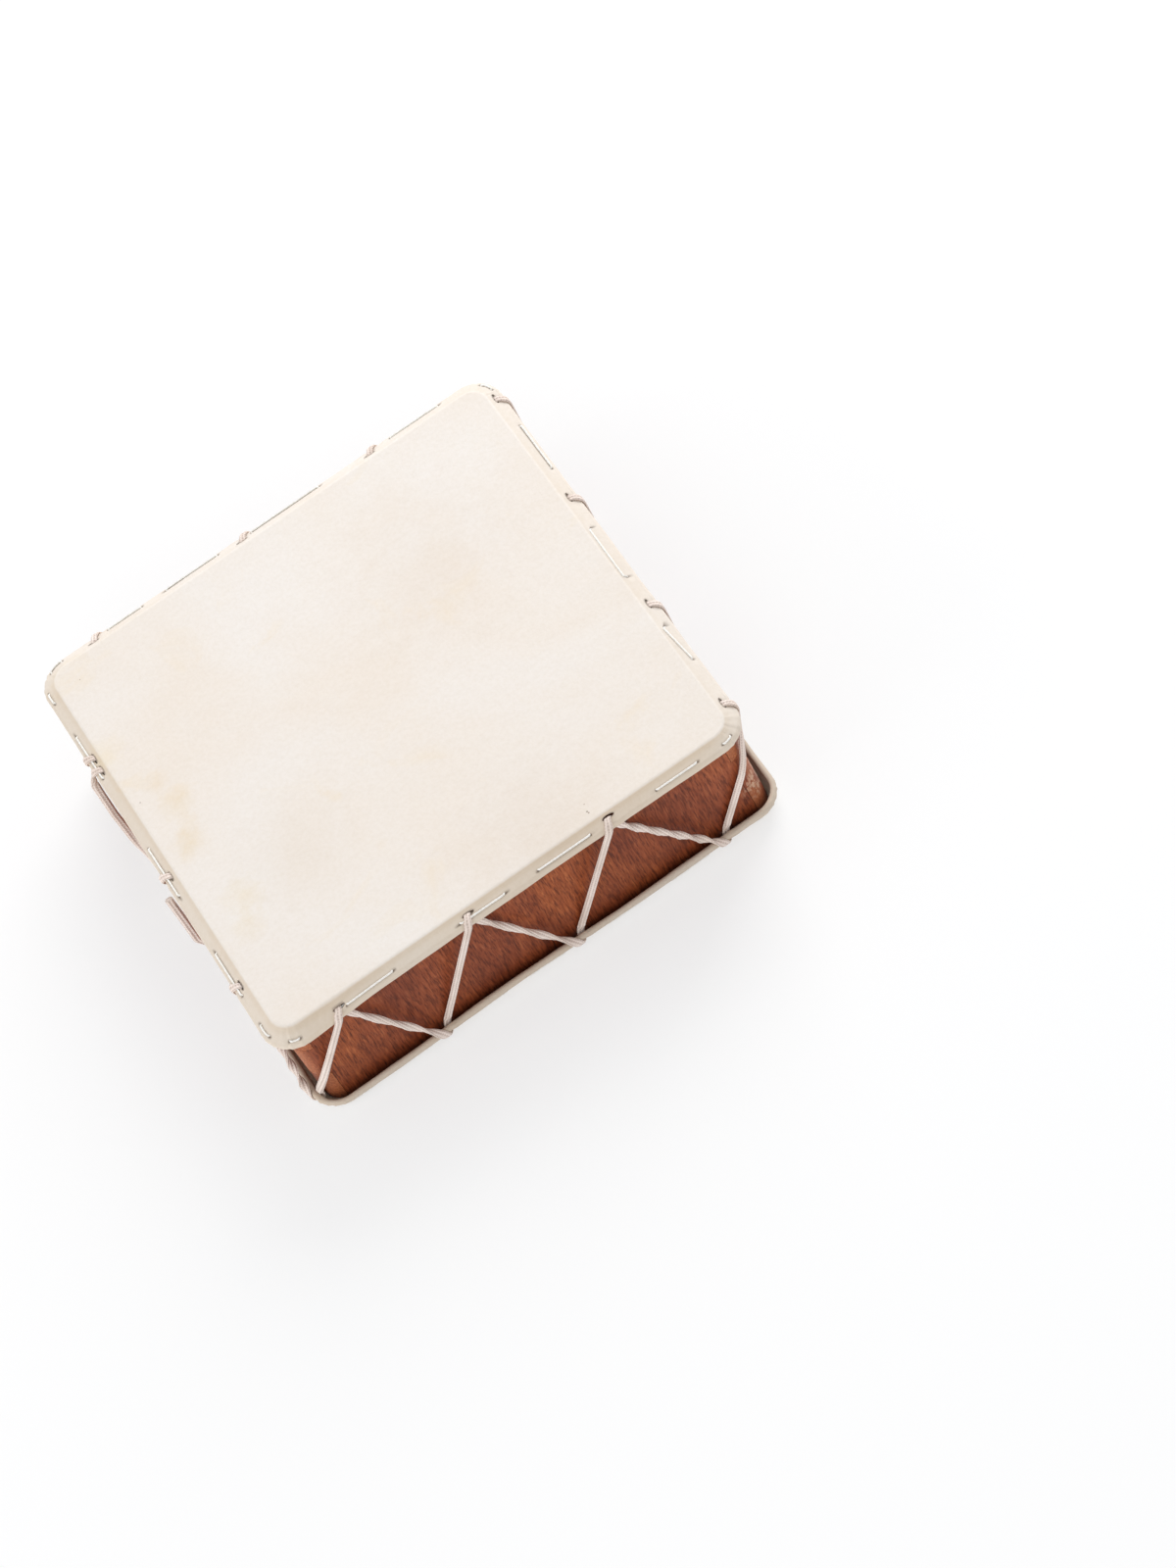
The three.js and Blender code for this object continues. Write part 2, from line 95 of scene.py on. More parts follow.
floor_half = 6.0
floor_corners = ((-1, -1, 0), (1, -1, 0), (1, 1, 0), (-1, 1, 0))
floor_mesh = bpy.data.meshes.new("floor")
floor_mesh.from_pydata((np.array(floor_corners) * floor_half).tolist(), [], [(0, 1, 2, 3)])
floor = bpy.data.objects.new("floor", floor_mesh)
bpy.context.scene.collection.objects.link(floor)
floor_finish, floor_tree, floor_shader = new_finish("white_sweep")
fill(floor_shader, {"Base Color": (0.97, 0.97, 0.97, 1), "Roughness": 0.9,
                    "Specular IOR Level": 0.1})
floor_white = add_node(floor_tree, "Emission", {"Strength": 1.0})
floor_whiteness = 0.6
floor_mix = add_node(floor_tree, "MixShader", {
    0: arithmetic(floor_tree, "MULTIPLY", looked_at(floor_tree), floor_whiteness),
    1: floor_shader.outputs[0], 2: floor_white.outputs[0]})
fill(floor_tree.nodes["Material Output"], {"Surface": floor_mix.outputs[0]})
floor_mesh.materials.append(floor_finish)

sky = bpy.data.worlds.new("studio")
bpy.context.scene.world = sky
sky.use_nodes = True
soft_light = sky.node_tree.nodes["Background"]
fill(soft_light, {"Color": (0.97, 0.98, 1.0, 1), "Strength": 0.585})
white_seen = add_node(sky.node_tree, "Background", {"Strength": 1.0})
sky_mix = add_node(sky.node_tree, "MixShader", {
    0: looked_at(sky.node_tree), 1: soft_light.outputs[0], 2: white_seen.outputs[0]})
fill(sky.node_tree.nodes["World Output"], {"Surface": sky_mix.outputs[0]})


def soft_lamp(name, direction, distance, size, watts):
    """Square area lamp on the line from the drum's middle along a direction, facing the drum."""
    lamp = bpy.data.lights.new(name, "AREA")
    lamp.size, lamp.energy = size, watts
    holder = bpy.data.objects.new(name, lamp)
    bpy.context.scene.collection.objects.link(holder)
    way = Vector(direction).normalized()
    drum_middle = Vector((0, 0, 0.035))
    holder.location = way * distance + drum_middle
    holder.rotation_mode = "QUATERNION"
    holder.rotation_quaternion = way.to_track_quat("Z", "Y")


soft_lamp("window", (0.52, 0.66, 0.50), 2.2, 1.6, 38)
soft_lamp("fill", (-0.25, -0.85, 0.45), 2.4, 1.6, 10)
soft_lamp("side", (-0.95, -0.05, 0.25), 2.2, 1.4, 16)

bpy.context.scene.view_settings.view_transform = "Standard"

# Wooden shell
# Four boards of reddish, open-grained wood stand on edge and meet in glued box joints. The outer
# corners and the rims are rounded over, so that the skins bend softly.

hoop_half = 122.5
hoop_corner = 13.0
straight = hoop_half - hoop_corner
side_length = 2 * straight + math.pi / 2 * hoop_corner
round_length = 4 * side_length
total_height = 71.0
hoop_z = {1: 66.5, -1: 4.5}    # upper and lower hoop line
shell_out = 118.55
board_thickness = 8.0
shell_bottom = 0.85
shell_top = total_height - shell_bottom
rim_edge = 0.8
joint_gap = 0.2
wood_seed = {"front": 0.0, "right": 3.1, "rear": 7.7, "left": 12.4}


def new_piece(name, points, faces, finish):
    """Smooth mesh piece from points in millimetres and a list of faces, on the one body."""
    mesh = bpy.data.meshes.new(name)
    mesh.from_pydata((np.asarray(points) * 0.001).tolist(), [], faces)
    mesh.materials.append(finish)
    mesh.polygons.foreach_set("use_smooth", np.full(len(mesh.polygons), True))
    mesh.update()
    piece = bpy.data.objects.new(name, mesh)
    bpy.context.scene.collection.objects.link(piece)
    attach(piece, "root")
    return piece


def mark_points(piece, name, values):
    """A number for each point of a piece, which its finish reads by name."""
    marks = piece.data.attributes.new(name, "FLOAT", "POINT")
    marks.data.foreach_set("value", values.reshape(-1).astype(np.float32))


def grid_faces(rows, columns, round_rows=False):
    """Quads between neighbours on a grid of rows and columns, numbered row by row. The columns
    close on themselves, and so do the rows if asked."""
    r = np.arange(rows if round_rows else rows - 1)[:, None]
    c = np.arange(columns)[None, :]
    below, beside = (r + 1) % rows, (c + 1) % columns
    quads = np.stack([
        r * columns + c, r * columns + beside,
        below * columns + beside, below * columns + c,
    ], axis=-1)
    return quads.reshape(-1, 4).tolist()


def board_outline(long, inset):
    """Outline of a front board seen from above, anticlockwise from its inner left end. The long
    one reaches round both corners, the short one stops at the inner corner of the shell. The
    outer face stands back by the inset."""
    inner = shell_out - board_thickness
    end = inner - joint_gap / 2
    back = inner + joint_gap / 2
    radius = hoop_corner + shell_out - hoop_half
    centre = shell_out - radius
    start = math.asin((back - centre) / radius)
    turn = np.linspace(start, math.pi / 2, 11)
    if long:
        x = centre + (radius - inset) * np.cos(turn)
        y = -centre - (radius - inset) * np.sin(turn)
    else:
        x = np.full(turn.shape, end)
        y = -back - (shell_out - inset - back) * np.linspace(0, 1, 11)
    left = np.stack([-x, y], 1)
    right = np.stack([x, y], 1)[::-1]
    middle = np.stack([np.linspace(-0.92, 0.92, 24) * end, np.full(24, -shell_out + inset)], 1)
    tail = np.array([[end, -inner], [-end, -inner]])
    return np.concatenate([left, middle, right, tail])


def board(side, name):
    """Board swept upwards: an outline at each height, long within its fingers and short between
    them, drawn in at the two rims. The lines that close it are fans from the rim outlines."""
    edges = np.linspace(shell_bottom, shell_top, 4)
    odd = side % 2 == 1
    rings, heights, ends = [], [], []
    for finger in range(3):
        long = (finger % 2 == 1) != odd
        room = joint_gap / 2 if long else -joint_gap / 2
        low = edges[finger] + (room if finger > 0 else 0)
        high = edges[finger + 1] - (room if finger < 2 else 0)
        insets = [(low, 0), (high, 0)]
        turn = np.linspace(0, math.pi / 2, 5)
        roll = list(zip(rim_edge * (1 - np.sin(turn)), rim_edge * (1 - np.cos(turn))))
        if finger == 0:
            insets = [(low + up, inset) for up, inset in roll[::-1]] + [(high, 0)]
        if finger == 2:
            insets = [(low, 0)] + [(high - up, inset) for up, inset in roll]
        for z, inset in insets:
            rings.append(board_outline(long, inset))
            heights.append(z)
            ends.append(float(long))
    plan = np.array(rings)
    quarter = side * math.pi / 2
    turned = np.stack([
        plan[..., 0] * math.cos(quarter) - plan[..., 1] * math.sin(quarter),
        plan[..., 0] * math.sin(quarter) + plan[..., 1] * math.cos(quarter),
    ], axis=-1)
    z = np.broadcast_to(np.array(heights)[:, None, None], turned.shape[:2] + (1,))
    points = np.concatenate([turned, z], axis=-1).reshape(-1, 3)
    count = plan.shape[1]
    faces = grid_faces(len(rings), count)
    faces.append(list(range(count))[::-1])
    faces.append([(len(rings) - 1) * count + i for i in range(count)])
    piece = new_piece(f"shell_board_{name}", points, faces, wood_finish(name))
    # End grain shows at both ends of the fingers that reach round the corner.
    grain_start, grain_full, most_grain = 113.0, 4.0, 0.8
    across = np.abs(plan[..., 0])
    end_share = np.clip((across - grain_start) / grain_full, 0, most_grain)
    end_share *= np.array(ends)[:, None]
    mark_points(piece, "end_grain", end_share)
    arris_width = 0.0003
    soften = piece.modifiers.new("arris", "BEVEL")
    soften.width = arris_width
    soften.segments = 2
    soften.limit_method = "ANGLE"
    soften.angle_limit = math.radians(50)
    smooth = piece.modifiers.new("smooth", "WEIGHTED_NORMAL")
    smooth.keep_sharp = False
    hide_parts(f"{name}_board")


white = (1.0, 1.0, 1.0)
black = (0.0, 0.0, 0.0)


def noise(tree, place, scale, detail, rough, distortion=0.0):
    """Noise read at a place."""
    return add_node(tree, "TexNoise", {
        "Vector": place, "Scale": scale, "Detail": detail, "Roughness": rough,
        "Distortion": distortion}).outputs["Fac"]


def ramp(tree, source, stops):
    """Colour by a source's value, through (position, colour) stops."""
    node = add_node(tree, "ValToRGB", {"Fac": source})
    marks = node.color_ramp.elements
    for mark, (position, colour) in zip((marks[0], marks[1]), (stops[0], stops[-1])):
        mark.position = position
        mark.color = colour + (1,)
    for position, colour in stops[1:-1]:
        marks.new(position).color = colour + (1,)
    return node.outputs["Color"]


def mixed(tree, share, low, high, way="MIX"):
    """Two colours mixed by a share."""
    return add_node(tree, "Mix", {0: share, 6: low, 7: high},
                    data_type="RGBA", blend_type=way).outputs[2]


def levels_between(tree, source, low, high):
    """A value from nought to one brought between two others."""
    return add_node(tree, "MapRange", {"Value": source, "To Min": low, "To Max": high}).outputs[0]


def bump(tree, height, strength, depth, under=None):
    """Bump from a height, of a depth in metres, over another bump."""
    node = add_node(tree, "Bump", {"Height": height, "Strength": strength, "Distance": depth})
    if under is not None:
        fill(node, {"Normal": under})
    return node.outputs[0]


def object_place(tree):
    """Object coordinates."""
    return add_node(tree, "TexCoord", {}).outputs["Object"]


def wood_finish(name):
    """Stained wood whose fibres run from rim to rim: long streaks, short dark pores, a slow drift
    of colour, orange end grain, a worn corner and painted shade darkening it towards both rims,
    with a satin surface."""
    finish, tree, shader = new_finish(f"stained_wood_{name}")
    where = object_place(tree)
    shift = (wood_seed[name], wood_seed[name] * 0.7, 0)

    def fibre(stretch, scale, detail, rough):
        """Noise stretched along the fibres."""
        place = add_node(tree, "Mapping", {"Vector": where, "Location": shift,
                                           "Scale": (1, 1, stretch)})
        return noise(tree, place.outputs[0], scale, detail, rough)

    streaks = fibre(0.10, 1150, 4, 0.65)
    bands = fibre(0.16, 60, 3, 0.55)
    pores = fibre(0.11, 1650, 3, 0.6)
    drift = fibre(0.6, 24, 2, 0.5)
    body = ramp(tree, streaks, [
        (0.28, (0.130, 0.029, 0.009)), (0.44, (0.260, 0.058, 0.019)),
        (0.58, (0.345, 0.084, 0.029)), (0.74, (0.460, 0.138, 0.050)),
    ])
    for share, source, stops in (
        (1.0, bands, [(0.30, (0.78, 0.70, 0.68)), (0.50, white), (0.72, (1.10, 1.10, 1.02))]),
        (1.0, drift, [(0.36, (0.86, 0.84, 0.86)), (0.52, white), (0.68, (1.16, 1.20, 1.02))]),
        (0.9, pores, [(0.36, (0.42, 0.36, 0.34)), (0.50, white)]),
    ):
        body = mixed(tree, share, body, ramp(tree, source, stops), "MULTIPLY")
    end = add_node(tree, "Attribute", {}, attribute_name="end_grain")
    end_spots = ramp(tree, fibre(1.0, 1100, 3, 0.6), [
        (0.32, (0.26, 0.070, 0.026)), (0.50, (0.44, 0.135, 0.050)), (0.70, (0.56, 0.200, 0.078)),
    ])
    body = mixed(tree, end.outputs["Fac"], body, end_spots)
    worn_corner = (0.1172, -0.1135, 0.022)
    worn = add_node(tree, "VectorMath", {0: where, 1: worn_corner}, operation="DISTANCE")
    near_wear = ramp(tree, arithmetic(tree, "MULTIPLY", worn.outputs["Value"], 50),
                     [(0.2, white), (0.6, black)])
    scratches = ramp(tree, fibre(0.35, 420, 3, 0.7), [(0.50, black), (0.56, white)])
    bare_wood = (0.66, 0.42, 0.28, 1.0)
    body = mixed(tree, mixed(tree, 1.0, near_wear, scratches, "MULTIPLY"), body, bare_wood)
    # Painted shade: the wood is darker towards both rims, most at the lower one, as shade under
    # the hoops and heads.
    height = add_node(tree, "SeparateXYZ", {0: where}).outputs["Z"]
    rim_shade = ramp(tree, arithmetic(tree, "MULTIPLY", height, 10), [
        (0.04, (0.48, 0.42, 0.40)), (0.13, (0.80, 0.77, 0.75)), (0.30, white),
        (0.60, white), (0.67, (0.74, 0.70, 0.68)),
    ])
    fill(shader, {
        "Base Color": mixed(tree, 1.0, body, rim_shade, "MULTIPLY"),
        "Roughness": levels_between(tree, streaks, 0.62, 0.40),
        "Specular IOR Level": 0.25,
        "Normal": bump(tree, streaks, 0.4, 0.0004, bump(tree, pores, 0.5, 0.0003)),
    })
    return finish


for board_side, board_name in enumerate(["front", "right", "rear", "left"]):
    board(board_side, board_name)

# Hoops
# A steel rod bent to the drum's outline holds the edge of each skin. It is hidden in the tuck of
# the skin. The cord's pull has drawn both rods a little off their nominal lines.

rod_radius = 1.3
slim = {1: 0.0, -1: 0.5}       # how much thinner than the upper rod each one is
corner_u = (np.arange(4) + 0.5) * side_length


def rim_place(u):
    """Hoop line at distances u along it, anticlockwise from the middle of the front side: four
    straight sides joined by quarter circles. Gives plan positions and outward directions."""
    turned = np.mod(np.asarray(u, float) + side_length / 2, round_length)
    side = np.floor(turned / side_length)
    along = turned - side * side_length - side_length / 2
    bend = np.sign(along) * np.maximum(np.abs(along) - straight, 0) / hoop_corner
    out = np.stack([np.sin(bend), -np.cos(bend)], -1)
    flat = np.stack([np.clip(along, -straight, straight), np.full_like(along, -straight)], -1)
    base = flat + hoop_corner * out
    c, s = np.cos(side * math.pi / 2)[..., None], np.sin(side * math.pi / 2)[..., None]

    def spun(v):
        """Plan vectors turned with their side, by quarter turns."""
        x, y = v[..., :1], v[..., 1:]
        return np.concatenate([x * c - y * s, x * s + y * c], -1)

    return spun(base), spun(out)


def gap_along(u, marks):
    """Signed distances along the hoop, the short way round, from each mark to each u: one row for
    each u and one column for each mark."""
    gap = np.mod(u[:, None] - np.asarray(marks)[None, :] + round_length / 2, round_length)
    return gap - round_length / 2


def signed_gap(u, marks):
    """Distance along the hoop from the nearest mark to each u, with its sign."""
    gap = gap_along(u, marks)
    return np.take_along_axis(gap, np.abs(gap).argmin(1)[:, None], 1)[:, 0]


def hoop_shift(u, sign):
    """How far a hoop lies off its nominal line at distances u along it: outward and upward. The
    upper one hangs out and down at the front left corner, the lower one is lifted along the
    front. Both are bell curves."""
    if sign > 0:
        gap = signed_gap(u, corner_u[3:])
        return 0.6 + 1.0 * np.exp(-(gap / 30) ** 2), -2.8 * np.exp(-(gap / 46) ** 2)
    left, right = signed_gap(u, [-20.0]), signed_gap(u, [corner_u[0] - 14])
    return np.full(len(u), 0.2), (0.5 + 2.7 * np.exp(-(left / 47) ** 2)
                                  + 2.4 * np.exp(-(right / 60) ** 2))


def carried_tube(centre, across, wide, thin, sides, closed, relief):
    """Tube along a centre line. Each ring is an ellipse: wide along the across direction, thin
    square to it and to the line, and pushed out by the relief given for each ring and side. The
    open ends are closed by a point at their middle."""
    if closed:
        along = np.roll(centre, -1, 0) - np.roll(centre, 1, 0)
    else:
        along = np.gradient(centre, axis=0)
    along /= np.linalg.norm(along, axis=1)[:, None]
    flat = np.cross(along, across)
    flat /= np.linalg.norm(flat, axis=1)[:, None]
    side = np.cross(flat, along)
    turn = (np.arange(sides) + 0.5) * 2 * math.pi / sides
    grow_wide = (wide[:, None] + relief) * np.cos(turn)[None, :]
    grow_thin = (thin[:, None] + relief) * np.sin(turn)[None, :]
    ring = (centre[:, None, :] - grow_wide[..., None] * side[:, None, :]
            + grow_thin[..., None] * flat[:, None, :])
    points = ring.reshape(-1, 3)
    count = len(centre)
    faces = [face[::-1] for face in grid_faces(count, sides, round_rows=closed)]
    if not closed:
        points = np.concatenate([points, centre[:1], centre[-1:]])
        first, last = count * sides, count * sides + 1
        start = (count - 1) * sides
        faces += [[first, i, (i + 1) % sides] for i in range(sides)]
        faces += [[last, start + (i + 1) % sides, start + i] for i in range(sides)]
    return points, faces


def hoop_rod(name, sign):
    """Round rod along the shifted hoop line."""
    u = np.linspace(0, round_length, 720, endpoint=False)
    base, out = rim_place(u)
    aside, lift = hoop_shift(u, sign)
    centre = np.concatenate([base + aside[:, None] * out, (hoop_z[sign] + lift)[:, None]], 1)
    across = np.concatenate([out, np.zeros((len(u), 1))], 1)
    radius = np.full(len(u), rod_radius - slim[sign])
    points, faces = carried_tube(centre, across, radius, radius, 16, True, np.zeros((1, 16)))
    piece = new_piece(name, points, faces, rod_finish)
    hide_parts(name.replace("rod", "hoop"))


rod_finish, rod_tree, rod_shader = new_finish("drawn_rod")
rod_marks = noise(rod_tree, object_place(rod_tree), 300, 2, 0.5)
fill(rod_shader, {
    "Base Color": ramp(rod_tree, rod_marks, [(0, (0.26, 0.25, 0.24)), (1, (0.48, 0.47, 0.46))]),
    "Roughness": levels_between(rod_tree, rod_marks, 0.3, 0.55),
    "Metallic": 1.0,
})

hoop_rod("upper_rod", 1)
hoop_rod("lower_rod", -1)

# Heads
# Each head is one rawhide skin. It lies flat over the shell, bends over the rim, slopes down to
# the hoop and tucks round it. Slits for the cord are cut along the rim and open where it dives in.

skin_thickness = 0.6
face_rise = total_height - hoop_z[1]
tuck_outer = rod_radius + 0.2 + skin_thickness
rim_bend = 1.65
rim_bend_at = np.array([-4.75, 2.85])
reach = math.hypot(*rim_bend_at)
slope_angle = (math.atan2(-rim_bend_at[1], -rim_bend_at[0])
               + math.acos((rim_bend - tuck_outer) / reach))
slope_out = np.array([math.cos(slope_angle), math.sin(slope_angle)])
slope_down = np.array([math.sin(slope_angle), -math.cos(slope_angle)])
slope_length = math.sqrt(reach ** 2 - (rim_bend - tuck_outer) ** 2)
slit_reach = 3.2
slit_uphill = 2.55
stitch_uphill = 0.9
tuck_height = 0.17             # folds at the corners
cord_dent, cord_swell = 0.22, 0.12
hole_dent = 0.42
stitch_dent, stitch_swell = 0.20, 0.10

upper_slits = [[-91, -22, 52], [-105, -38, 36, 107], [-59.5, 11, 93], [-65, 14, 84]]
upper_levels = [[-1.4, -0.1, 0.7], [0, 0, 0, 0], [0, 0, 0], [0, 0, 0]]
upper_runs = [
    [[-116.5, -112.5], [-87.4, -63], [-27, -4], [14, 41], [76, 97], [111.2, 115.7]],
    [[-76, -54, 0.6, 3.0], [-19, 14, 3.2, 3.0], [56, 86], [113, 119]],
    [[-98, -72], [-32, 5], [24, 52], [66, 84], [110, 117]],
    [[-111, -105], [-81.5, -53.5], [-6, 25], [62, 88], [106, 113]],
]
upper_u = np.concatenate([np.array(row, float) + side * side_length
                          for side, row in enumerate(upper_slits)])
lower_u = (upper_u + np.append(upper_u[1:], upper_u[0] + round_length)) / 2
lower_u[-1] -= 4
upper_level = np.concatenate([np.array(row, float) for row in upper_levels])
tie_u = upper_u[10] + 8
upper_stitches = np.concatenate([np.array([run[:2] for run in row], float) + side * side_length
                                 for side, row in enumerate(upper_runs)])
upper_rise = np.array([run[2:] or [0, 0] for row in upper_runs for run in row], float)
lower_next = np.append(lower_u[1:], lower_u[0] + round_length)
lower_stitches = np.concatenate([
    np.stack([lower_u + (lower_next - lower_u) * a, lower_u + (lower_next - lower_u) * b], 1)
    for a, b in ((0.15, 0.42), (0.58, 0.85))])
lower_stitches = lower_stitches[np.argsort(lower_stitches[:, 0])]


def near(u, marks, width):
    """Bell curves of a width round the marks along the hoop, summed."""
    return np.exp(-(gap_along(u, marks) / width) ** 2).sum(1)


def stitch_rise(u, stitches, rises):
    """How far up the slope the stitches run at distances u: straight from end to end of each, and
    easing out over four millimetres beyond."""
    total = np.zeros(len(u))
    for (start, end), (low, high) in zip(stitches, rises):
        into = gap_along(u, [start])[:, 0]
        total += np.interp(into, [-4, 0, end - start, end - start + 4], [0, low, high, 0])
    return total


def skin_columns(slits, holes):
    """Distances along the hoop at which the skin's sections stand: close together at corners,
    slits and needle holes, wider apart elsewhere."""
    parts = [np.arange(0, round_length, 3.0)]
    parts += [corner + np.arange(-13, 13.1, 1.0) for corner in corner_u]
    parts += [slit + np.concatenate([np.linspace(-slit_reach, slit_reach, 13),
                                     [-5.0, -4.0, 4.0, 5.0]]) for slit in slits]
    parts += [hole + np.array([-0.6, -0.28, 0, 0.28, 0.6]) for hole in holes]
    u = np.unique(np.round(np.mod(np.concatenate(parts), round_length), 3))
    keep = np.append(True, np.diff(u) > 0.12)
    fixed = np.abs(np.abs(signed_gap(u, slits)) - slit_reach) < 0.02
    return u[keep | fixed]


def skin_head(name, sign, slits, levels, stitches, rises, seed):
    """Skin as a grid: along the section from the middle of the face over the rim, down the slope,
    round the rod and up its inner side, and round the drum. It stands off that section by waves,
    tucks at the corners, dents under the cord and puckers at the needle holes. Between two rows
    at the slit line the cells are left open over each slit's length. Each slit and stitch has its
    own level, and the rows on the slope bend up or down to it."""
    u = skin_columns(slits, stitches.reshape(-1))
    base, out = rim_place(u)
    draw = np.random.default_rng(seed)
    phase = draw.uniform(0, 2 * math.pi, 9)

    # The section, outward and upward from the hoop line.
    face_s = np.array([-106, -88, -70, -52, -37, -25, -16.5, -11, -8, -6.2, -5.2])
    face = np.stack([face_s, np.full(face_s.shape, face_rise)], 1)
    bend_turn = np.linspace(math.pi / 2, slope_angle, 4)
    bend = rim_bend_at + rim_bend * np.stack([np.cos(bend_turn), np.sin(bend_turn)], 1)
    uphill = np.array([4.7, 3.6, slit_uphill + 0.01, slit_uphill, 1.9, 1.4, 0.9, 0.5, 0.15])
    slope = tuck_outer * slope_out - uphill[:, None] * slope_down
    wrap_turn = np.linspace(slope_angle, -math.pi, 19)
    wrap = tuck_outer * np.stack([np.cos(wrap_turn), np.sin(wrap_turn)], 1)
    flap = np.stack([np.full(3, -tuck_outer), np.array([0.7, 1.4, 2.1])], 1)
    section = np.concatenate([face, bend, slope, wrap, flap])
    normal = np.concatenate([
        np.tile([0.0, 1.0], (len(face), 1)),
        np.stack([np.cos(bend_turn), np.sin(bend_turn)], 1),
        np.tile(slope_out, (len(slope), 1)),
        np.stack([np.cos(wrap_turn), np.sin(wrap_turn)], 1),
        np.tile([-1.0, 0.0], (len(flap), 1)),
    ])
    first_slope = len(face) + len(bend)
    first_wrap = first_slope + len(slope)
    rows, columns = len(section), len(u)
    downhill = np.full(rows, -1.0)
    downhill[first_slope:first_wrap] = uphill
    on_slope = (downhill >= 0).astype(float)
    on_wrap = np.zeros(rows)
    on_wrap[first_wrap:first_wrap + len(wrap)] = 1.0
    angle = np.full(rows, math.pi / 2)
    angle[first_wrap:first_wrap + len(wrap)] = wrap_turn

    slit_gap = signed_gap(u, slits)
    under_cord = near(u, np.asarray(slits) - 1.2, 2.5)
    ends = np.concatenate([stitches[:, 0] - 0.4, stitches[:, 1] + 0.4])
    holes = near(u, ends, 0.5)
    in_run = ((np.mod(u[:, None] - stitches[None, :, 0], round_length)
               < (stitches[:, 1] - stitches[:, 0])[None, :]).any(1)).astype(float)
    rise = stitch_rise(u, stitches, rises)
    in_run = in_run / (1 + 2 * rise)
    corner_gap = signed_gap(u, corner_u)
    tuck_wave = np.exp(-(corner_gap / 10) ** 2) * (
        np.sin(corner_gap * 2 * math.pi / 3.7 + phase[0] + 3 * np.floor(u / side_length))
        + 0.6 * np.sin(corner_gap * 2 * math.pi / 2.3 + phase[1]))
    slow = (0.09 * np.sin(u * 2 * math.pi * 7 / round_length + phase[2])
            + 0.07 * np.sin(u * 2 * math.pi * 19 / round_length + phase[3])
            + 0.04 * np.sin(u * 2 * math.pi * 43 / round_length + phase[4]))
    hang = np.clip(on_slope * (1 - downhill / slope_length) + on_wrap, 0, 1)
    hang[-len(flap):] = 1.0

    # How far the skin stands off the section.
    off = hang[:, None] * (slow[None, :] - slim[sign])
    fold_share = on_wrap * np.clip(1.2 - np.abs(angle - 0.2) / 1.6, 0, 1) + 0.55 * on_slope
    off += tuck_height * fold_share[:, None] * tuck_wave[None, :]
    pressed = on_wrap * np.clip(np.cos((angle - 0.75) / 1.1), 0, 1) + on_slope * (downhill < 2.8)
    off -= cord_dent * pressed[:, None] * under_cord[None, :]
    beside = on_wrap * (np.abs(angle) < 1.2)
    off += cord_swell * beside[:, None] * near(u, np.asarray(slits) + 3.2, 2.0)
    thread_row = np.exp(-((downhill - stitch_uphill) / 0.5) ** 2) * on_slope
    off -= hole_dent * thread_row[:, None] * holes[None, :]
    off -= stitch_dent * thread_row[:, None] * in_run[None, :]
    above_thread = np.exp(-((downhill - 1.7) / 0.5) ** 2) * on_slope
    off += stitch_swell * above_thread[:, None] * in_run[None, :]

    # Moved with the hoop, and on the slope to the level of each slit and stitch.
    aside, lift = hoop_shift(u, sign)
    s = section[:, :1] + off * normal[:, :1] + hang[:, None] * aside[None, :]
    h = section[:, 1:] + off * normal[:, 1:] + hang[:, None] * sign * lift[None, :]
    level = (np.exp(-(gap_along(u, slits) / 6.0) ** 2) * np.asarray(levels)[None, :]).sum(1)
    for line, moved in ((slit_uphill, level), (stitch_uphill, rise)):
        bent = on_slope * np.where(downhill <= line, downhill / line,
                                   (slope_length - downhill) / (slope_length - line))
        s -= bent[:, None] * moved[None, :] * slope_down[0]
        h -= bent[:, None] * moved[None, :] * slope_down[1]
    # The lips of a slit part and curl.
    lens = np.sqrt(np.clip(1 - (slit_gap / slit_reach) ** 2, 0, 1))
    up_row = first_slope + 2
    for row, move, lift in (
        (up_row - 1, -0.3, 0.08), (up_row, -0.75, 0.2),
        (up_row + 1, 0.62, -0.22), (up_row + 2, 0.42, -0.16), (up_row + 3, 0.2, -0.10),
    ):
        s[row] += (move * slope_down[0] + lift * slope_out[0]) * lens
        h[row] += (move * slope_down[1] + lift * slope_out[1]) * lens

    # Further in than this the rows keep their shape and shrink towards the drum's middle.
    border = 9.0
    plan_s = np.maximum(s, -border)
    kept = (hoop_half + np.minimum(s, -border)) / (hoop_half - border)
    plan = (base[None] + plan_s[..., None] * out[None]) * kept[..., None]
    x, y = plan[..., 0], plan[..., 1]
    ripple = (0.09 * np.sin(x / 31 + phase[5]) * np.sin(y / 27 + phase[6])
              + 0.04 * np.sin(x / 11 + y / 17 + phase[7])
              + 0.04 * np.sin(y / 9 - x / 23 + phase[8]))
    shelter = np.clip((-s - 6) / 30, 0, 1)
    h = h - (0.20 + ripple * np.clip((s - face_s[0]) / 20, 0, 1)) * shelter
    points = np.stack([x, y, hoop_z[sign] + sign * h], -1).reshape(-1, 3)

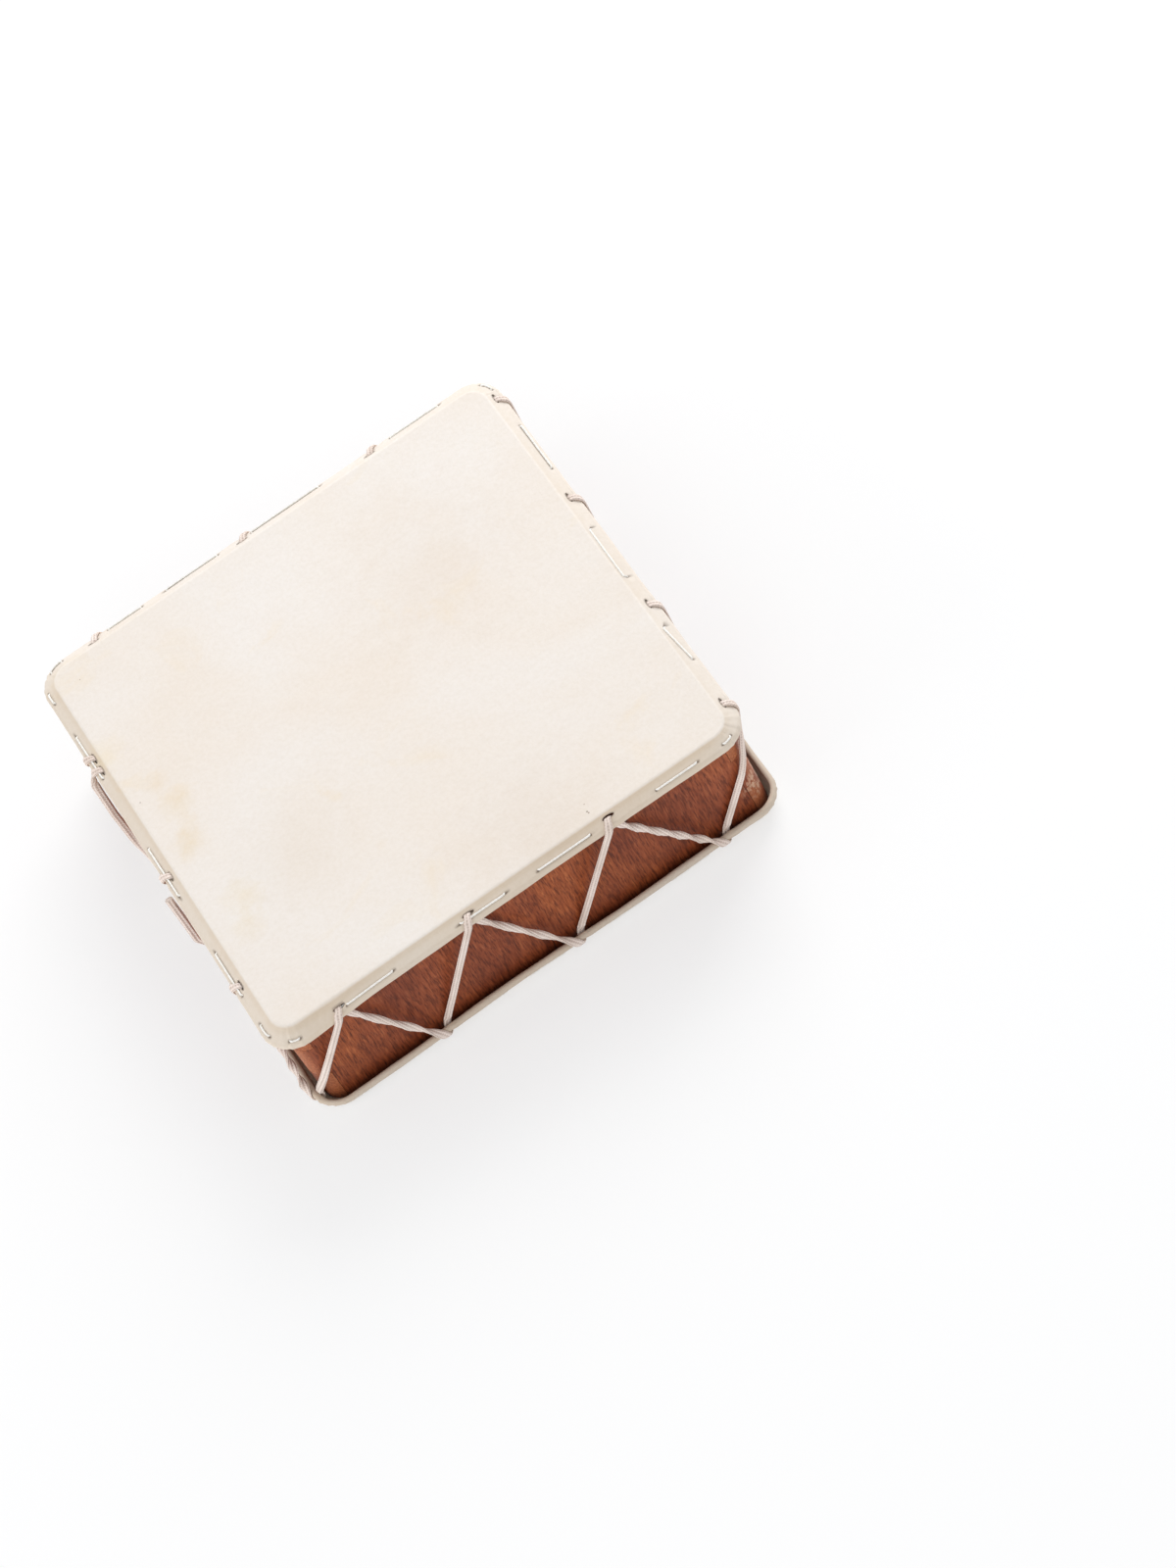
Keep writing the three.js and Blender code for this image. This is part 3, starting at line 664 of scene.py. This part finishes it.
    quads = np.array(grid_faces(rows, columns)).reshape(rows - 1, columns, 4)
    open_cell = (np.abs(slit_gap) < slit_reach - 0.01) | (
        np.abs(np.roll(slit_gap, -1)) < slit_reach - 0.01)
    keep = np.ones((rows - 1, columns), bool)
    keep[up_row, open_cell] = False
    faces = quads[keep].tolist()
    faces.append(list(range(columns))[::-1])
    if sign > 0:
        faces = [face[::-1] for face in faces]
    piece = new_piece(name, points, faces, skin_finish(name, seed))
    # Painted shade: darker at the needle holes, along each stitch run under the thread, and on the
    # lips of each slit.
    seam_shade = np.zeros((rows, columns))
    seam_shade += thread_row[:, None] * np.clip(holes * 1.6, 0, 1)[None, :] ** 2
    seam_shade += 0.42 * thread_row[:, None] * in_run[None, :]
    edge_row = np.zeros(rows)
    edge_row[[up_row, up_row + 1]] = 0.75
    seam_shade += edge_row[:, None] * lens[None, :]
    mark_points(piece, "seam_shade", np.clip(seam_shade, 0, 1))
    # Along the slope and tuck the skin is painted darker: a little of this is the skin's own
    # yellowing, most is painted shade.
    rolled = on_slope * (0.72 + 0.28 * np.clip((downhill - 2.4) / 1.6, 0, 1)) + 0.8 * on_wrap
    rolled[-len(flap):] = 0.8
    # The rim's painted shade is deepest on the front and left sides, which face away from the
    # window lamp.
    knots = np.concatenate([[0], (corner_u[:, None] + [-14, 14]).reshape(-1), [round_length]])
    side_shade = [1, 1, 0.35, 0.35, 0.2, 0.2, 0.8, 0.8, 1, 1] if sign > 0 else [1] * 10
    mark_points(piece, "rim_band", rolled[:, None] * np.interp(u, knots, side_shade)[None, :])
    wall = piece.modifiers.new("thickness", "SOLIDIFY")
    wall.thickness = skin_thickness * 0.001
    wall.offset = -1
    wall.use_rim = True
    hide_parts(name.replace("skin", "head"))


# Stains and flecks on the two faces: place and radius in millimetres, and tint.
skin_marks = {
    "upper_skin": [
        (55, 48, 26, (0.965, 0.945, 0.925)), (25, -112, 24, (0.955, 0.93, 0.905)),
        (-70, -40, 16, (0.97, 0.96, 0.945)), (-104, 33, 3.4, (0.98, 0.945, 0.88)),
        (-100.5, 18, 5.2, (0.975, 0.935, 0.85)), (-106, -6, 5.0, (0.975, 0.935, 0.86)),
        (-99, -46, 5.6, (0.98, 0.945, 0.865)), (-104, -61, 4.6, (0.98, 0.95, 0.885)),
        (-118, 62, 6.0, (1.0, 0.97, 0.88)), (-102, 4, 3.0, (0.98, 0.945, 0.88)),
        (-105.5, -1, 2.8, (0.98, 0.945, 0.88)), (-109, -7, 2.6, (0.98, 0.95, 0.885)),
        (45.8, -113.3, 0.55, (0.30, 0.26, 0.22)), (46.1, -114.3, 0.5, (0.36, 0.31, 0.27)),
        (46.6, -109.2, 0.45, (0.62, 0.56, 0.5)), (-114.8, 28.6, 0.42, (0.42, 0.38, 0.36)),
        (-107.4, 106.5, 0.4, (0.5, 0.44, 0.4)),
    ],
    "lower_skin": [
        (60, 41, 6.5, (1.0, 0.95, 0.85)), (-38, -90, 5.0, (1.0, 0.94, 0.84)),
        (12, 77, 0.7, (0.45, 0.38, 0.32)), (-84, 20, 0.6, (0.5, 0.43, 0.37)),
    ],
}


def skin_finish(name, seed):
    """Rawhide: warm white with slow cloudy stains, faint fibres, a few yellow spots and dark
    flecks at set places, and dull, with a fine uneven grain. Along the rim it is slightly yellower
    and darker with painted shade; needle holes, stitch lines and slit lips get painted shade too."""
    finish, tree, shader = new_finish(f"rawhide_{name}")
    where = object_place(tree)
    shift = (seed * 0.37, seed * 0.21, 0)
    place = add_node(tree, "Mapping", {"Vector": where, "Location": shift}).outputs[0]
    colour = ramp(tree, noise(tree, place, 11, 3, 0.55, 0.4),
                  [(0.36, (0.857, 0.778, 0.698)), (0.66, (0.870, 0.818, 0.768))])
    cloud = ramp(tree, noise(tree, place, 19, 4, 0.6, 0.8),
                 [(0.60, white), (0.78, (1.0, 0.955, 0.86))])
    fibres = ramp(tree, noise(tree, place, 520, 3, 0.65),
                  [(0.30, (0.965, 0.955, 0.935)), (0.62, white)])
    for tint in (cloud, fibres):
        colour = mixed(tree, 1.0, colour, tint, "MULTIPLY")
    uneven = noise(tree, place, 150, 3, 0.6)
    fleck_edge = arithmetic(tree, "MULTIPLY", uneven, 0.2)
    stain_edge = arithmetic(tree, "MULTIPLY", uneven, 0.6)
    face_z = total_height if name == "upper_skin" else 0.0
    for x, y, radius, tint in skin_marks[name]:
        middle = (x * 0.001, y * 0.001, face_z * 0.001)
        away = add_node(tree, "VectorMath", {0: where, 1: middle}, operation="DISTANCE")
        edge, full, gone = (fleck_edge, 0.20, 0.35) if radius < 2 else (stain_edge, 0.32, 0.85)
        ragged = arithmetic(tree, "MULTIPLY_ADD", away.outputs["Value"], 250 / radius, edge)
        spot = ramp(tree, ragged, [(full, tint), (gone, white)])
        colour = mixed(tree, 1.0, colour, spot, "MULTIPLY")
    # Rim colour: a little yellower than the face, and darker with painted shade; the lower head
    # lies in shade and is painted darkest.
    rim_tint_and_shade = (0.83, 0.755, 0.645, 1) if name == "upper_skin" else (0.68, 0.60, 0.50, 1)
    # The rim tint and the painted shade at holes, stitches and slit lips darken the skin's colour.
    for mark, tint in (("rim_band", rim_tint_and_shade), ("seam_shade", (0.16, 0.12, 0.09, 1))):
        share = add_node(tree, "Attribute", {}, attribute_name=mark).outputs["Fac"]
        colour = mixed(tree, share, colour, tint, "MULTIPLY")
    grain = bump(tree, noise(tree, place, 700, 4, 0.6), 0.35, 0.00025)
    fill(shader, {
        "Base Color": colour,
        "Roughness": levels_between(tree, noise(tree, place, 60, 3, 0.6), 0.50, 0.72),
        "Specular IOR Level": 0.3,
        "Normal": bump(tree, noise(tree, place, 120, 3, 0.5), 0.35, 0.0008, grain),
    })
    return finish


skin_head("upper_skin", 1, np.append(upper_u, tie_u), np.append(upper_level, 0), upper_stitches,
          upper_rise, 5)
skin_head("lower_skin", -1, lower_u, 0 * lower_u, lower_stitches, 0 * lower_stitches, 11)

# Stitching
# One pale two-ply thread runs round each head just above the hoop. It shows in long stitches on
# the slope and passes through needle holes to the inner side of the tuck between them.

thread_radius = 0.46
thread_out = (tuck_outer + thread_radius - 0.1) * slope_out - stitch_uphill * slope_down
thread_in = np.array([-1.1, 1.75])
dive_length = 0.32
ply_pitch = 3.2


def stitch_thread(name, sign, stitches, rises, seed):
    """Closed thread: outside the skin within each stitch, inside it between two, changing over
    on a smooth step at every needle hole, with the two plies as a turning swell."""
    u = np.arange(0, round_length, 0.42)
    into, beyond = gap_along(u, stitches[:, 0]), gap_along(u, stitches[:, 1])
    step = 0.5 * (np.tanh(into / dive_length) - np.tanh(beyond / dive_length))
    shown = np.clip(step, 0, 1).max(1)
    draw = np.random.default_rng(seed)
    level = draw.uniform(-0.22, 0.22, len(stitches))
    slack = (np.clip(step, 0, 1) * level[None, :]).sum(1)
    place = thread_in + shown[:, None] * (thread_out - thread_in) + slack[:, None] * slope_down
    place = place - 0.85 * slim[sign] * shown[:, None] * slope_out
    rise = stitch_rise(u, stitches, rises) * shown
    place = place - rise[:, None] * slope_down
    base, out = rim_place(u)
    aside, lift = hoop_shift(u, sign)
    hang = 1 - (stitch_uphill + rise) / slope_length
    plan = base + (place[:, :1] + (hang * aside)[:, None]) * out
    z = hoop_z[sign] + sign * place[:, 1:] + (hang * lift)[:, None]
    centre = np.concatenate([plan, z], 1)
    dive = thread_out - thread_in
    across = np.concatenate([dive[1] * out, np.full((len(u), 1), -sign * dive[0])], 1)
    across /= np.linalg.norm(across, axis=1)[:, None]
    sides = 8
    turn = (np.arange(sides) + 0.5) * 2 * math.pi / sides
    plies = 0.05 * np.cos(2 * (turn[None, :] - u[:, None] * 2 * math.pi / ply_pitch)) - 0.02
    radius = np.full(len(u), thread_radius)
    points, faces = carried_tube(centre, across, radius, radius, sides, True, plies)
    piece = new_piece(name, points, faces, thread_finish)
    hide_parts(name.replace("thread", "stitching"))


thread_finish, thread_tree, thread_shader = new_finish("waxed_thread")
thread_lint = noise(thread_tree, object_place(thread_tree), 900, 3, 0.5)
fill(thread_shader, {
    "Base Color": ramp(thread_tree, thread_lint,
                       [(0.3, (0.84, 0.80, 0.73)), (0.6, (0.97, 0.96, 0.92))]),
    "Roughness": 0.42,
    "Sheen Weight": 0.15,
    "Normal": bump(thread_tree, thread_lint, 0.4, 0.0001),
})

stitch_thread("upper_thread", 1, upper_stitches, upper_rise, 21)
stitch_thread("lower_thread", -1, lower_stitches, 0 * lower_stitches, 22)

# Lacing cord
# One braided cord pulls both heads tight. It comes over a hoop from outside, dives through a slit,
# passes flat behind the hoop and crosses the wood to the other one. Its cut end stands up on the
# left side, and a spare length hangs over the upper hoop beside it.

cord_radius = 1.7
cord_flat = 0.8
cord_flat_width = 3.6
cord_over = 1.5
cord_over_width = 4.2
cord_step = 3.0
rib_height = 0.09
braid_pitch = 5.2
shell_face = shell_out - hoop_half
gap_middle = (shell_face - tuck_outer) / 2
touch = 0.3
wood_touch = shell_face + touch + cord_radius


def stations(u, s, z, half_wide, half_thin):
    """Rows of a cord's route: position, direction along the hoop, half width, half thickness and
    the distance along the hoop, at places given by that distance, reach outside and height."""
    base, out = rim_place(u)
    ahead = np.stack([-out[:, 1], out[:, 0]], 1)
    plan = base + s[:, None] * out
    zero = np.zeros((len(u), 1))
    return np.concatenate([plan, z[:, None], ahead, zero,
                           half_wide[:, None], half_thin[:, None], u[:, None]], 1)


def over_hoop(u, sign, way=1, level=0.0):
    """The cord from outside a hoop over it, through the slit at its level, flat behind it and out
    towards the middle of the drum: eleven stations that move along the hoop by the cord's step."""
    full = 2 * cord_radius
    slit_z = face_rise - skin_thickness - 0.25 - cord_flat / 2
    turn = np.array([-0.15, 0.35, 0.8, slope_angle])
    wide = np.array([1.15 * full, 1.1 * full, cord_over_width, 0.8 * cord_over_width])
    thin = np.array([0.42 * full, 0.44 * full, 1.05 * cord_over, cord_over])
    away = tuck_outer + 0.05 + thin / 2 - slim[sign]
    step = np.array([-1.2, -1.05, -0.85, -0.6, -0.35, -0.15, -0.1, 0, 0.3, 0.5, 0.9])
    first = (tuck_outer + cord_over * 0.3) * slope_out - (2 + level) * slope_down
    s = np.concatenate([away * np.cos(turn), [
        first[0], -tuck_outer + cord_flat * 0.2, gap_middle, gap_middle, gap_middle,
        (gap_middle + wood_touch) / 2, wood_touch]])
    z = np.concatenate([away * np.sin(turn), [
        first[1], slit_z, slit_z - 2 * cord_flat, 0, -tuck_outer, -tuck_outer - 2,
        -tuck_outer - 4.6]])
    wide = np.concatenate([wide, [0.7 * cord_over_width, cord_flat_width, cord_flat_width,
                                  cord_flat_width, cord_flat_width, cord_over_width, full]])
    thin = np.concatenate([thin, [cord_over * 0.75, cord_flat, cord_flat, cord_flat, cord_flat,
                                  0.7 * full, full]])
    along = u + way * step * cord_step
    aside, lift = hoop_shift(along, sign)
    return stations(along, s + aside, hoop_z[sign] + sign * z + lift, wide / 2, thin / 2)


def round_corner(start, end):
    """Stations where a taut stretch wraps a corner of the shell: the tangents from both ends to
    the corner's circle and the arc between them. None where the stretch stays on one side."""
    side = round((start[8] + end[8]) / 2 / side_length - 0.5)
    middle = (side + 0.5) * side_length
    if min(start[8], end[8]) > middle or max(start[8], end[8]) < middle:
        return np.zeros((0, 9))
    base, out = rim_place(np.array([middle]))
    centre = base[0] - hoop_corner * out[0]
    radius = hoop_corner + wood_touch
    turn = np.sign(end[8] - start[8])
    plan = np.array([start[:2], end[:2]]) - centre
    away = np.arccos(np.minimum(1, radius / np.linalg.norm(plan, axis=1)))
    leave = np.arctan2(plan[:, 1], plan[:, 0]) + turn * away * np.array([1, -1])
    sweep = (turn * (leave[1] - leave[0])) % (2 * math.pi)
    if sweep > math.pi:
        return np.zeros((0, 9))
    angle = leave[0] + turn * sweep * np.linspace(0, 1, 14)
    arc = radius * np.stack([np.cos(angle), np.sin(angle)], 1)
    path = np.concatenate([plan[:1], arc, plan[1:]])
    run = np.append(0, np.cumsum(np.linalg.norm(np.diff(path, axis=0), axis=1)))
    share = run[1:-1] / run[-1]
    z = start[2] + (end[2] - start[2]) * share
    ahead = np.stack([-arc[:, 1], arc[:, 0]], 1) / radius
    full = np.full((len(arc), 2), cord_radius)
    u = start[8] + (end[8] - start[8]) * share
    return np.concatenate([arc + centre, z[:, None], ahead, np.zeros((len(arc), 1)), full,
                           u[:, None]], 1)


def lacing_route():
    """Whole route of the lacing cord: once round the drum from behind the lower hoop on the left
    side, over the two hoops in turn, and back to the same place, then up into the cut end. Also
    gives, for every station, how many half turns the cord has made about itself."""
    count = len(upper_u)
    start = count - 2
    rows = [over_hoop(lower_u[start] + 9, -1)[-4:]]
    twist = [np.zeros(4)]
    draw = np.random.default_rng(8)
    turned = 0.0
    for k in range(1, count + 1):
        i = (start + k) % count
        lap = round_length if start + k >= count else 0.0
        for sign, u in ((1, upper_u[i] + lap), (-1, lower_u[i] + lap)):
            way = -1 if sign < 0 and k == count else 1
            hop = over_hoop(u, sign, way, upper_level[i] if sign > 0 else 0.0)
            corner = round_corner(rows[-1][-1], hop[0])
            gained = 0.0
            if sign < 0:
                gained = float(draw.integers(3, 6)) if k < count else 2.0
            rows += [corner, hop]
            share = np.linspace(0, 1, len(corner) + 2)[1:-1]
            twist += [turned + gained * share, np.full(len(hop), turned + gained)]
            turned += gained
    # The cut end runs up along the wood behind the last falling strand and ends at the upper hoop.
    end = lower_u[start] + round_length - 27.7
    one = np.full(5, cord_radius)
    rows.append(stations(end + np.array([21, 14.6, 10.6, 0, -0.5]),
                         np.array([wood_touch, wood_touch, 5.0, 5.3, 5.3]),
                         np.array([24, 35, 43, hoop_z[1] - 4, hoop_z[1] - 1]), one, one))
    twist.append(turned + np.array([0, 0.25, 0.5, 0.5, 0.5]))
    return np.concatenate(rows), np.concatenate(twist)


def spare_route():
    """Route of the spare length: from behind the upper hoop up through its slit, over the hoop,
    hanging out a little, out across the next rising strand and in behind the lower hoop."""
    lap = round_length
    top = over_hoop(tie_u + lap, 1)
    foot = over_hoop(tie_u + lap + 52, -1, -1)
    head = over_hoop(lower_u[10] + lap, -1)[-1]
    tail = over_hoop(upper_u[11] + lap, 1)[0]
    under = np.array([[head[8], head[2]], [tail[8], tail[2]]])
    over = np.array([[top[0, 8], top[0, 2]], [foot[-1, 8], foot[-1, 2]]])
    meet = np.linalg.solve(np.stack([over[1] - over[0], under[0] - under[1]], 1),
                           under[0] - over[0])
    reach_out = np.array([np.linalg.norm(p[:2] - rim_place(np.array([p[8]]))[0][0])
                          for p in (top[0], head, tail)]) * np.array([1, -1, 1])
    bow = reach_out[1] + (reach_out[2] - reach_out[1]) * meet[1] + 2 * cord_radius + 0.25
    cross = over[0] + (over[1] - over[0]) * meet[0]
    hang = over[0] + (over[1] - over[0]) * meet[0] * np.array([[0.06], [0.32], [0.55], [0.76]])
    bulge = stations(hang[:, 0], reach_out[0] + np.array([1.9, 2.2, 1.3, -0.5]), hang[:, 1],
                     np.full(4, cord_radius), np.full(4, cord_radius))
    crossing = stations(cross[:1], np.array([bow]), cross[1:],
                        np.array([cord_radius]), np.array([cord_radius]))
    route = np.concatenate([top[:8][::-1], bulge, crossing, foot[-4:][::-1]])
    return route, np.repeat([0.0, 0.5, 0.8, 1.0], [8, 3, 1, 5])


def eased(line, reach):
    """Line of evenly spaced points, each replaced by a bell-weighted mean of its neighbours. Past
    its ends the line is taken to run straight on."""
    half = int(math.ceil(reach * 3))
    weight = np.exp(-0.5 * (np.arange(-half, half + 1) / reach) ** 2)
    weight /= weight.sum()
    steps = np.arange(half, 0, -1)[:, None]
    longer = np.concatenate([line[0] - steps * (line[1] - line[0]), line,
                             line[-1] + steps[::-1] * (line[-1] - line[-2])])
    return np.stack([np.convolve(column, weight, mode="valid") for column in longer.T], 1)


def braided_cord(name, node, route, twist):
    """Cord along a route of stations. The route is divided into even steps and eased, so that it
    bends round the hoops. Where it hangs free of them its section is a flat oval that turns with
    the twist. The surface swells in six lengthwise ribs, each broken into slanting strands."""
    gap = np.linalg.norm(np.diff(route[:, :3], axis=0), axis=1)
    run = np.append(0, np.cumsum(gap))
    step = 0.64
    place = np.linspace(0, run[-1], int(run[-1] / step))
    line = np.stack([np.interp(place, run, route[:, i]) for i in range(9)], 1)
    turns = np.interp(place, run, twist)
    line = eased(line, reach=1.4)
    turns = eased(turns[:, None], reach=4.0)[:, 0]
    centre, across = line[:, :3], line[:, 3:6]
    across /= np.linalg.norm(across, axis=1)[:, None]
    along = np.gradient(centre, axis=0)
    along /= np.linalg.norm(along, axis=1)[:, None]
    flat = np.cross(along, across)
    flat /= np.linalg.norm(flat, axis=1)[:, None]
    side = np.cross(flat, along)
    angle = math.pi * turns
    across = side * np.cos(angle)[:, None] + flat * np.sin(angle)[:, None]
    wide, thin = line[:, 6], line[:, 7]
    free = np.clip(1 - np.abs(wide - thin) / 0.35, 0, 1)
    twisted = np.clip(np.abs(np.gradient(turns, place)) * 14, 0, 1)
    wide = wide + free * (0.18 + 0.32 * twisted)
    thin = thin - free * (0.42 + 0.18 * twisted)
    sides = 24
    turn = (np.arange(sides) + 0.5) * 2 * math.pi / sides
    lay = place[:, None] * 2 * math.pi / (braid_pitch / 2)
    ribs = np.cos(6 * turn[None, :]) + 0.3 * np.cos(3 * turn[None, :] + lay)
    relief = (rib_height * ribs - 0.04) * np.minimum(1, thin / 1.2)[:, None]
    points, faces = carried_tube(centre, across, wide, thin, sides, False, relief)
    piece = new_piece(name, points, faces, cord_finish)
    wrap = piece.data.uv_layers.new(name="braid")
    ring = np.arange(len(place) * sides)
    around = (ring % sides) / sides
    length = place[ring // sides] / braid_pitch
    around = np.append(around, [0.0, 0.0])
    length = np.append(length, [0.0, place[-1] / braid_pitch])
    loops = np.empty(len(piece.data.loops), np.int64)
    piece.data.loops.foreach_get("vertex_index", loops)
    starts = np.empty(len(piece.data.polygons), np.int64)
    piece.data.polygons.foreach_get("loop_start", starts)
    totals = np.empty(len(piece.data.polygons), np.int64)
    piece.data.polygons.foreach_get("loop_total", totals)
    # Faces that cross the seam keep on counting past one.
    u_loop = around[loops]
    owner = np.repeat(np.arange(len(starts)), totals)
    most = np.maximum.reduceat(u_loop, starts)
    u_loop = np.where((most[owner] > 0.7) & (u_loop < 0.3), u_loop + 1, u_loop)
    wrap.data.foreach_set("uv", np.stack([u_loop, length[loops]], 1).astype(np.float32).ravel())
    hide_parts(node)


cord_finish, cord_tree, cord_shader = new_finish("braided_cord")


def cord_math(operation, *values):
    """One step of arithmetic on the braid's coordinates."""
    return arithmetic(cord_tree, operation, *values)


cord_uv = add_node(cord_tree, "UVMap", {}, uv_map="braid")
cord_split = add_node(cord_tree, "SeparateXYZ", {0: cord_uv.outputs[0]})
cord_round = cord_math("MULTIPLY", cord_split.outputs["X"], 6 * 2 * math.pi)
cord_long = cord_math("MULTIPLY", cord_split.outputs["Y"], 2 * 2 * math.pi)
cord_slant = cord_math("MULTIPLY", cord_math("SINE", cord_math("MULTIPLY", cord_round, 0.5)), 2.0)
cord_strands = cord_math("SINE", cord_math("ADD", cord_math("MULTIPLY", cord_long, 2.0),
                                           cord_slant))
cord_height = cord_math("ADD", cord_math("COSINE", cord_round),
                        cord_math("MULTIPLY", cord_strands, 0.35))
# The braid's colour, painted darker where its height is low, as shade in the grooves between the
# ribs.
cord_tone_and_groove_shade = ramp(cord_tree, cord_math("ADD", cord_math("MULTIPLY", cord_height, 0.38), 0.5),
                  [(0.05, (0.68, 0.55, 0.48)), (0.55, (0.98, 0.85, 0.77))])
cord_dirt = ramp(cord_tree, noise(cord_tree, object_place(cord_tree), 60, 5, 0.5),
                 [(0.35, (0.86, 0.83, 0.80)), (0.6, white)])
fill(cord_shader, {
    "Base Color": mixed(cord_tree, 1.0, cord_tone_and_groove_shade, cord_dirt, "MULTIPLY"),
    "Roughness": 0.62,
    "Sheen Weight": 0.2,
    "Sheen Roughness": 0.4,
    "Normal": bump(cord_tree, cord_height, 0.55, 0.00025),
})

braided_cord("lacing_braid", "lacing_cord", *lacing_route())
braided_cord("spare_braid", "lacing_tie", *spare_route())
